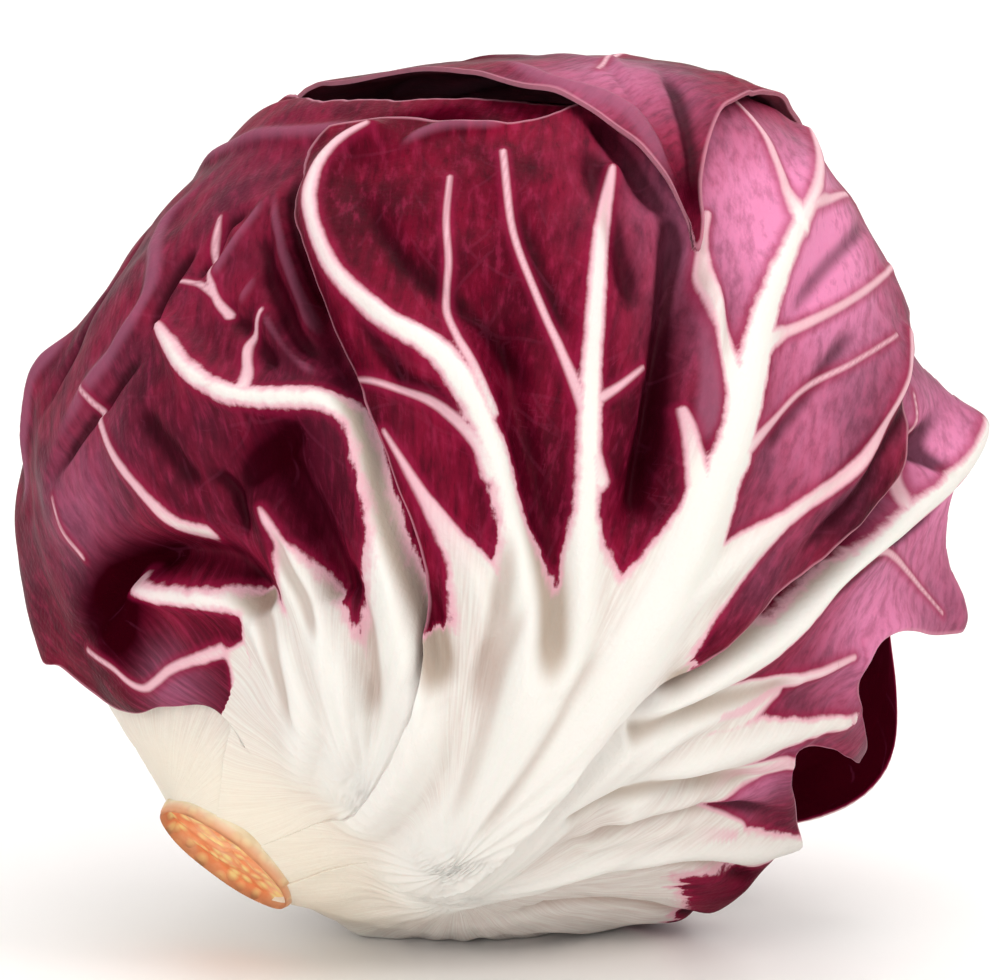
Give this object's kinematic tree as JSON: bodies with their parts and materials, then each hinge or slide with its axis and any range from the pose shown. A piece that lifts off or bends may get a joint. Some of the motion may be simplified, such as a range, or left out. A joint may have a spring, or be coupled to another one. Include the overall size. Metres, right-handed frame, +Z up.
{
  "type": "radicchio head",
  "caption": "Round head of red radicchio lying on its side: white-ribbed wine-red wrapper leaves folded over a dense heart, with a short cut stem",
  "frame": {"origin": "on the surface that the head lies on, under the middle of the head", "axes": "+Z up; +X to the right and +Y away, seen from the side where the ribs of the front leaf show and the cut stem points low to the left"},
  "size_m": [0.1303, 0.1228, 0.1176],
  "materials": {
    "stem": "cut stem, dry and oxidised",
    "heart": "waxy leaf, half matt",
    "leaf_front": "waxy leaf with white ribs, half matt",
    "leaf_left": "waxy leaf with white ribs, half matt",
    "leaf_right": "waxy leaf with white ribs, half matt",
    "leaf_over_top": "waxy leaf with white ribs, half matt",
    "leaf_back_left": "waxy leaf with white ribs, half matt",
    "leaf_back_right": "waxy leaf with white ribs, half matt"
  },
  "bodies": {
    "root": {"stem": "stem", "heart": "heart", "leaf_front": "leaf_front", "leaf_left": "leaf_left", "leaf_right": "leaf_right", "leaf_over_top": "leaf_over_top", "leaf_back_left": "leaf_back_left", "leaf_back_right": "leaf_back_right"}
  },
  "joints": []
}
